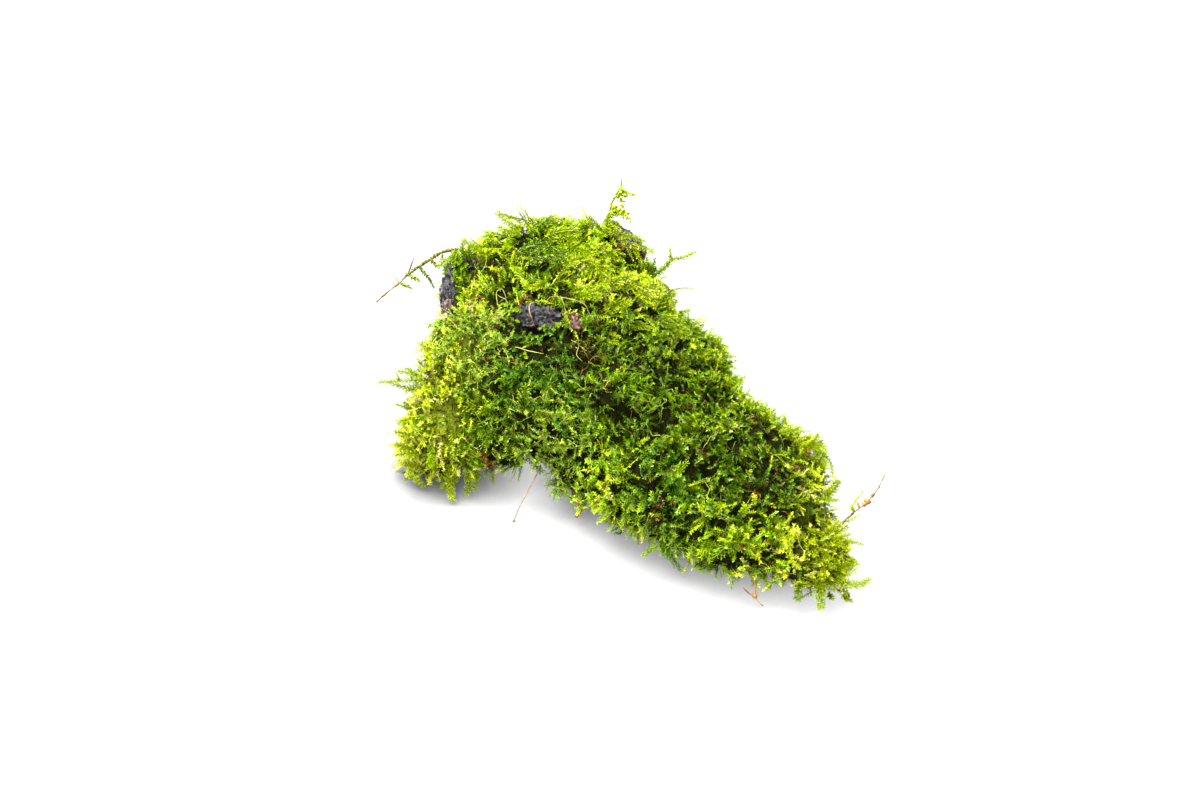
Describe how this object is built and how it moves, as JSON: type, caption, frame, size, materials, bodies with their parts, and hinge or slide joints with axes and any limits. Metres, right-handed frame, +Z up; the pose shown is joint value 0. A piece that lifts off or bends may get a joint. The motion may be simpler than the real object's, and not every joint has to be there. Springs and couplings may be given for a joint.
{
  "type": "moss clump",
  "caption": "Irregular mat of feather moss picked from bark, thick and raised in the middle, with a low end at the right and bark flakes in it.",
  "frame": {"origin": "on the flat of the underside, under the thickest growth", "axes": "+Z up from the surface that the clump lies on, +X to the long low end of the clump at the viewer's right, -Y to the viewer"},
  "size_m": [0.1411, 0.1328, 0.0502],
  "materials": {
    "moss": "soft, leafy, slightly wet",
    "bark": "rough, furrowed, grey-brown",
    "dead_leaf": "thin, dry, matt",
    "dry_stem": "dry, matt, orange-brown",
    "straw": "dry, pale, satin"
  },
  "bodies": {
    "root": {"moss_mat": "moss", "bark_left": "bark", "bark_centre": "bark", "bark_right": "bark", "bark_chip": "bark", "dead_leaf": "dead_leaf", "shoot_upper_left": "moss", "shoot_top": "moss", "shoot_right_upper": "moss", "shoot_right_lower": "moss", "shoot_left": "moss", "shoot_foot_left": "moss", "shoot_foot_middle": "moss", "shoot_foot_right": "moss", "shoot_arch": "moss", "shoot_right_end": "moss", "shoot_front_long": "moss", "shoot_front_short": "moss", "shoot_right_side": "moss", "dry_stem_right": "dry_stem", "dry_stem_front": "dry_stem", "dry_curl": "dry_stem", "grass_stalk": "straw", "root_over_bark": "straw", "root_beside_bark": "straw"}
  },
  "joints": []
}
